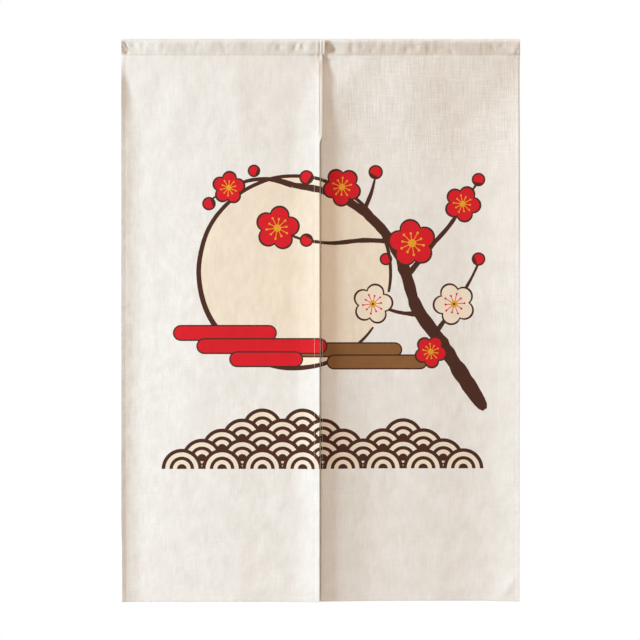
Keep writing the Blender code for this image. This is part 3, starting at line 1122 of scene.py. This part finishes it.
def buildCloth(cloth):
    flatPoints, faces, inkIndex = meshCloth(cloth)
    places = [layCloth(cloth, u, v) * mm for u, v in flatPoints]
    mesh = bpy.data.meshes.new(cloth["name"])
    mesh.from_pydata([tuple(place) for place in places], [], faces.tolist())
    mesh.update()
    if sum(polygon.area * polygon.normal.y for polygon in mesh.polygons) > 0.0:
        mesh.flip_normals()
    mesh.polygons.foreach_set("material_index", inkIndex.astype(np.int32))
    mesh.polygons.foreach_set("use_smooth", np.ones(len(faces), dtype=bool))
    corners = np.zeros(len(mesh.loops), dtype=np.int32)
    mesh.loops.foreach_get("vertex_index", corners)
    flatMap = mesh.uv_layers.new(name="flatCloth")
    flatMap.data.foreach_set("uv", (flatPoints[corners] * mm).astype(np.float32).ravel())
    for material in clothMaterials:
        mesh.materials.append(material)
    piece = linkPiece(cloth["name"], mesh)
    thick = piece.modifiers.new("clothThickness", "SOLIDIFY")
    thick.thickness = curtain["clothThick"] * mm
    thick.offset = -1.0
    thick.use_even_offset = False
    thick.material_offset = len(inkOrder)
    thick.material_offset_rim = 0
    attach(piece, "root")
    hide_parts(*cloth["nodes"])
    print(cloth["name"], "has", len(faces), "faces")
    return piece


# Stitching: lockstitch in spun thread, each stitch a small rounded bar pressed into the cloth

stitching = {
    "pitch": 4.2,
    "length": 3.3,
    "thick": 0.55,
    "flatten": 0.8,
    "proud": 0.05,
    "hemEnds": (3.0, 1.0),   # the side hems' lines stop this far short of the back seam and the foot
    "seamEnds": 1.5,         # the pocket's seam stops this far short of the cloth's edges
    "seamRise": 0.6,         # its thread lies this far above the pocket's stitch line
    "probe": 0.4,            # how far to each side the cloth's slope is taken
    "sides": 6,
    # Each ring's place and girth, as shares of the length and thickness
    "rings": [(-0.46, 0.6), (-0.3, 0.95), (0.0, 1.0), (0.3, 0.95), (0.46, 0.6)],
    "threadHex": ("E6DFD2", "F4F0E8"),
    "threadTwist": 900.0,
    "threadRoughness": 0.6,
}


def threadMaterial():
    # Spun polyester sewing thread: smooth, a little brighter than the cloth, with a soft gloss
    material = bpy.data.materials.new("spunSewingThread")
    material.use_nodes = True
    tree = material.node_tree
    shader = tree.nodes["Principled BSDF"]
    place = addNode(tree, "ShaderNodeTexCoord").outputs["Object"]
    twist = addNode(tree, "ShaderNodeTexNoise", links={"Vector": place},
                    Scale=stitching["threadTwist"], Detail=1.0)
    dull, bright = stitching["threadHex"]
    colour = addNode(tree, "ShaderNodeMix", {"data_type": "RGBA"}, {0: twist.outputs["Fac"]},
                     {6: linearColour(dull), 7: linearColour(bright)})
    tree.links.new(colour.outputs[2], shader.inputs["Base Color"])
    shader.inputs["Roughness"].default_value = stitching["threadRoughness"]
    return material


sewingThread = threadMaterial()


def stitchBar():
    # One stitch along X, flattened a little, with rounded ends
    sides = stitching["sides"]
    points = []
    for along, size in stitching["rings"]:
        for step in range(sides):
            turn = 2.0 * math.pi * step / sides
            radius = stitching["thick"] / 2.0 * size
            points.append((along * stitching["length"], radius * math.cos(turn),
                           stitching["flatten"] * radius * math.sin(turn)))
    points += [(-0.5 * stitching["length"], 0.0, 0.0), (0.5 * stitching["length"], 0.0, 0.0)]
    faces = []
    last = len(stitching["rings"]) - 1
    for ring in range(last):
        for step in range(sides):
            after = (step + 1) % sides
            faces.append((ring * sides + step, ring * sides + after, (ring + 1) * sides + after,
                          (ring + 1) * sides + step))
    for step in range(sides):
        after = (step + 1) % sides
        faces.append((len(points) - 2, after, step))
        faces.append((len(points) - 1, last * sides + step, last * sides + after))
    return np.array(points), faces


def stitchRuns(cloth):
    # Each line of stitching: its length, and its flat place for a share of that length
    width = flatWidth(cloth)
    inset = hemPucker["stitchInset"]
    top, bottom = stitching["hemEnds"][0] - loopLength, panelLength - stitching["hemEnds"][1]
    ends = stitching["seamEnds"]
    onLeft = cloth["side"] == "left"

    def outerHem(share):
        return (inset if onLeft else width - inset), mix(top, bottom, share)

    def innerHem(share):
        v = mix(top, bottom, share)
        innerInset = innerHemInset(cloth, curtain["pocketHeight"] + max(v, 0.0))
        return (width - innerInset if onLeft else innerInset), v

    def pocketSeam(share):
        return mix(ends, width - ends, share), -stitching["seamRise"]

    def bottomHem(share):
        return mix(inset, width - inset, share), panelLength - hemPucker["bottomInset"]

    return [(bottom - top, outerHem), (bottom - top, innerHem), (width - 2.0 * ends, pocketSeam),
            (width - 2.0 * inset, bottomHem)]


def sewCloth(cloth, name):
    barPoints, barFaces = stitchBar()
    probe = stitching["probe"]
    allPoints = []
    allFaces = []
    for length, run in stitchRuns(cloth):
        count = int(length / stitching["pitch"])
        for place in range(count):
            share = (place + 0.5) / count
            half = 0.5 * stitching["length"] / length
            u, v = run(share)
            middle = layCloth(cloth, u, v)
            along = layCloth(cloth, *run(share + half)) - layCloth(cloth, *run(share - half))
            along.normalize()
            rightward = layCloth(cloth, u + probe, v) - layCloth(cloth, u - probe, v)
            downward = layCloth(cloth, u, v + probe) - layCloth(cloth, u, v - probe)
            side = along.cross(downward.cross(rightward)).normalized()
            out = side.cross(along)
            for lift in (stitching["proud"], -curtain["clothThick"] - 2.0 * curtain["sideHemRadius"]):
                centre = middle + out * lift
                frameRows = np.array([along, side, out])
                first = len(allPoints) * len(barPoints)
                allFaces += [[first + corner for corner in face] for face in barFaces]
                allPoints.append(barPoints @ frameRows + np.array(centre))
    mesh = bpy.data.meshes.new(name)
    mesh.from_pydata((np.concatenate(allPoints) * mm).tolist(), [], allFaces)
    mesh.update()
    mesh.polygons.foreach_set("use_smooth", np.ones(len(mesh.polygons), dtype=bool))
    mesh.materials.append(sewingThread)
    piece = linkPiece(name, mesh)
    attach(piece, "root")
    print(name, "has", len(allPoints) // 2, "stitches, each on both faces")
    return piece


for clothPiece in (leftCloth, rightCloth):
    sheet = buildCloth(clothPiece)
    stitches = sewCloth(clothPiece, clothPiece["name"].replace("cloth", "stitching"))
print("cloth hung and sewn")


# Studio: white surround, one soft light that grazes the cloth from the left, pale floor below the hem

studio = {
    "pixelMm": 2.135,          # one pixel of the 640 pixel picture at the cloth
    "curtainMiddlePixel": 320.5,
    "topPixel": 38.8,
    "pictureSize": 640,
    "cameraAway": 6.0,
    "cameraSees": 50.0,
    "sensor": 36.0,
    "keyAway": 2.9,
    "keyAside": 66.0,
    "keyUp": 2.5,
    "keySize": 0.48,
    "keyPower": 102.0,
    "keyHex": "D3E9FF",
    "sideLampPlace": (1.3, -1.35, 0.55),
    "sideLampAim": (0.28, 0.0, -0.15),
    "sideLampSize": 1.2,
    "sideLampPower": 9.0,
    "sideLampHex": "FFEEDD",
    "fillHex": "FFEDE2",
    "fillBelow": 0.135,
    "fillAbove": 0.865,
    "fillRise": (-0.35, 0.45),
    "zenithExtra": 1.5,        # a cool white ceiling softbox, that the cloth's top edge catches
    "zenithRise": (0.78, 0.97),
    "zenithHex": "BFD8FF",
    "floorDepth": 2.5,
    "floorSize": 3.4,
    "floorHex": ("E9E6E0", "F1EFEA"),
    "floorMottle": 3.0,
    "floorRoughness": 0.8,
}


def buildCamera():
    data = bpy.data.cameras.new("frontCamera")
    view = studio["pictureSize"] * studio["pixelMm"] * mm
    data.sensor_width = studio["sensor"]
    data.lens = studio["sensor"] * studio["cameraAway"] / view
    data.clip_end = studio["cameraSees"]
    camera = bpy.data.objects.new("frontCamera", data)
    aside = (studio["pictureSize"] / 2 - studio["curtainMiddlePixel"]) * studio["pixelMm"] * mm
    down = (studio["pictureSize"] / 2 - studio["topPixel"]) * studio["pixelMm"] * mm
    camera.location = (aside, -studio["cameraAway"], -down)
    camera.rotation_euler = (math.radians(90.0), 0.0, 0.0)
    bpy.context.scene.collection.objects.link(camera)
    bpy.context.scene.camera = camera


def hangSoftbox(name, look, place, aim):
    data = bpy.data.lights.new(name, "AREA")
    data.shape = "SQUARE"
    data.size = studio[look + "Size"]
    data.energy = studio[look + "Power"]
    data.color = linearColour(studio[look + "Hex"])[:3]
    lamp = bpy.data.objects.new(name, data)
    lamp.location = place
    lamp.rotation_euler = aim.to_track_quat("-Z", "Y").to_euler()
    bpy.context.scene.collection.objects.link(lamp)


def buildLights():
    aside = math.radians(studio["keyAside"])
    up = math.radians(studio["keyUp"])
    middle = Vector((0.0, 0.0, -curtain["height"] / 2 * mm))
    toLamp = Vector((-math.sin(aside) * math.cos(up), -math.cos(aside) * math.cos(up), math.sin(up)))
    hangSoftbox("softKeyLight", "key", middle + toLamp * studio["keyAway"], -toLamp)
    # A weak second softbox, up on the right, opens the shadow at the top of the slit
    sidePlace = Vector(studio["sideLampPlace"])
    hangSoftbox("softSideLamp", "sideLamp", sidePlace, Vector(studio["sideLampAim"]) - sidePlace)


def buildSurround():
    world = bpy.data.worlds.new("whiteSurround")
    bpy.context.scene.world = world
    world.use_nodes = True
    tree = world.node_tree
    tree.nodes.clear()
    # Brighter above than below, as under a studio's overhead softboxes
    aim = addNode(tree, "ShaderNodeTexCoord").outputs["Generated"]
    height = addNode(tree, "ShaderNodeSeparateXYZ", links={"Vector": aim}).outputs["Z"]
    soft = {"interpolation_type": "SMOOTHSTEP"}
    low, high = studio["fillRise"]
    strength = addNode(tree, "ShaderNodeMapRange", soft, {"Value": height}, From_Min=low, From_Max=high,
                       To_Min=studio["fillBelow"], To_Max=studio["fillAbove"])
    low, high = studio["zenithRise"]
    overhead = addNode(tree, "ShaderNodeMapRange", soft, {"Value": height}, From_Min=low, From_Max=high,
                       To_Min=0.0, To_Max=1.0)
    raised = addNode(tree, "ShaderNodeMath", {"operation": "MULTIPLY_ADD"},
                     {0: overhead.outputs[0], 2: strength.outputs[0]}, {1: studio["zenithExtra"]})
    tint = addNode(tree, "ShaderNodeMix", {"data_type": "RGBA"}, {0: overhead.outputs[0]},
                   {6: linearColour(studio["fillHex"]), 7: linearColour(studio["zenithHex"])})
    fill = addNode(tree, "ShaderNodeBackground",
                   links={"Strength": raised.outputs[0], "Color": tint.outputs[2]})
    backdrop = addNode(tree, "ShaderNodeBackground", Color=(1.0, 1.0, 1.0, 1.0), Strength=1.0)
    seen = addNode(tree, "ShaderNodeLightPath").outputs["Is Camera Ray"]
    both = addNode(tree, "ShaderNodeMixShader",
                   links={0: seen, 1: fill.outputs["Background"], 2: backdrop.outputs["Background"]})
    addNode(tree, "ShaderNodeOutputWorld", links={"Surface": both.outputs["Shader"]})


def buildFloor():
    # Matt painted board, faintly mottled
    level = (0.0, 0.0, -studio["floorDepth"])
    bpy.ops.mesh.primitive_plane_add(size=studio["floorSize"], location=level)
    floor = bpy.context.object
    floor.name = "paleFloor"
    material = bpy.data.materials.new("palePaintedFloor")
    material.use_nodes = True
    tree = material.node_tree
    shader = tree.nodes["Principled BSDF"]
    mottle = addNode(tree, "ShaderNodeTexNoise", Scale=studio["floorMottle"], Detail=4.0)
    dull, bright = studio["floorHex"]
    colour = addNode(tree, "ShaderNodeMix", {"data_type": "RGBA"}, {0: mottle.outputs["Fac"]},
                     {6: linearColour(dull), 7: linearColour(bright)})
    tree.links.new(colour.outputs[2], shader.inputs["Base Color"])
    shader.inputs["Roughness"].default_value = studio["floorRoughness"]
    floor.data.materials.append(material)


buildCamera()
buildLights()
buildSurround()
buildFloor()
bpy.context.scene.view_settings.view_transform = "Standard"
print("studio set")
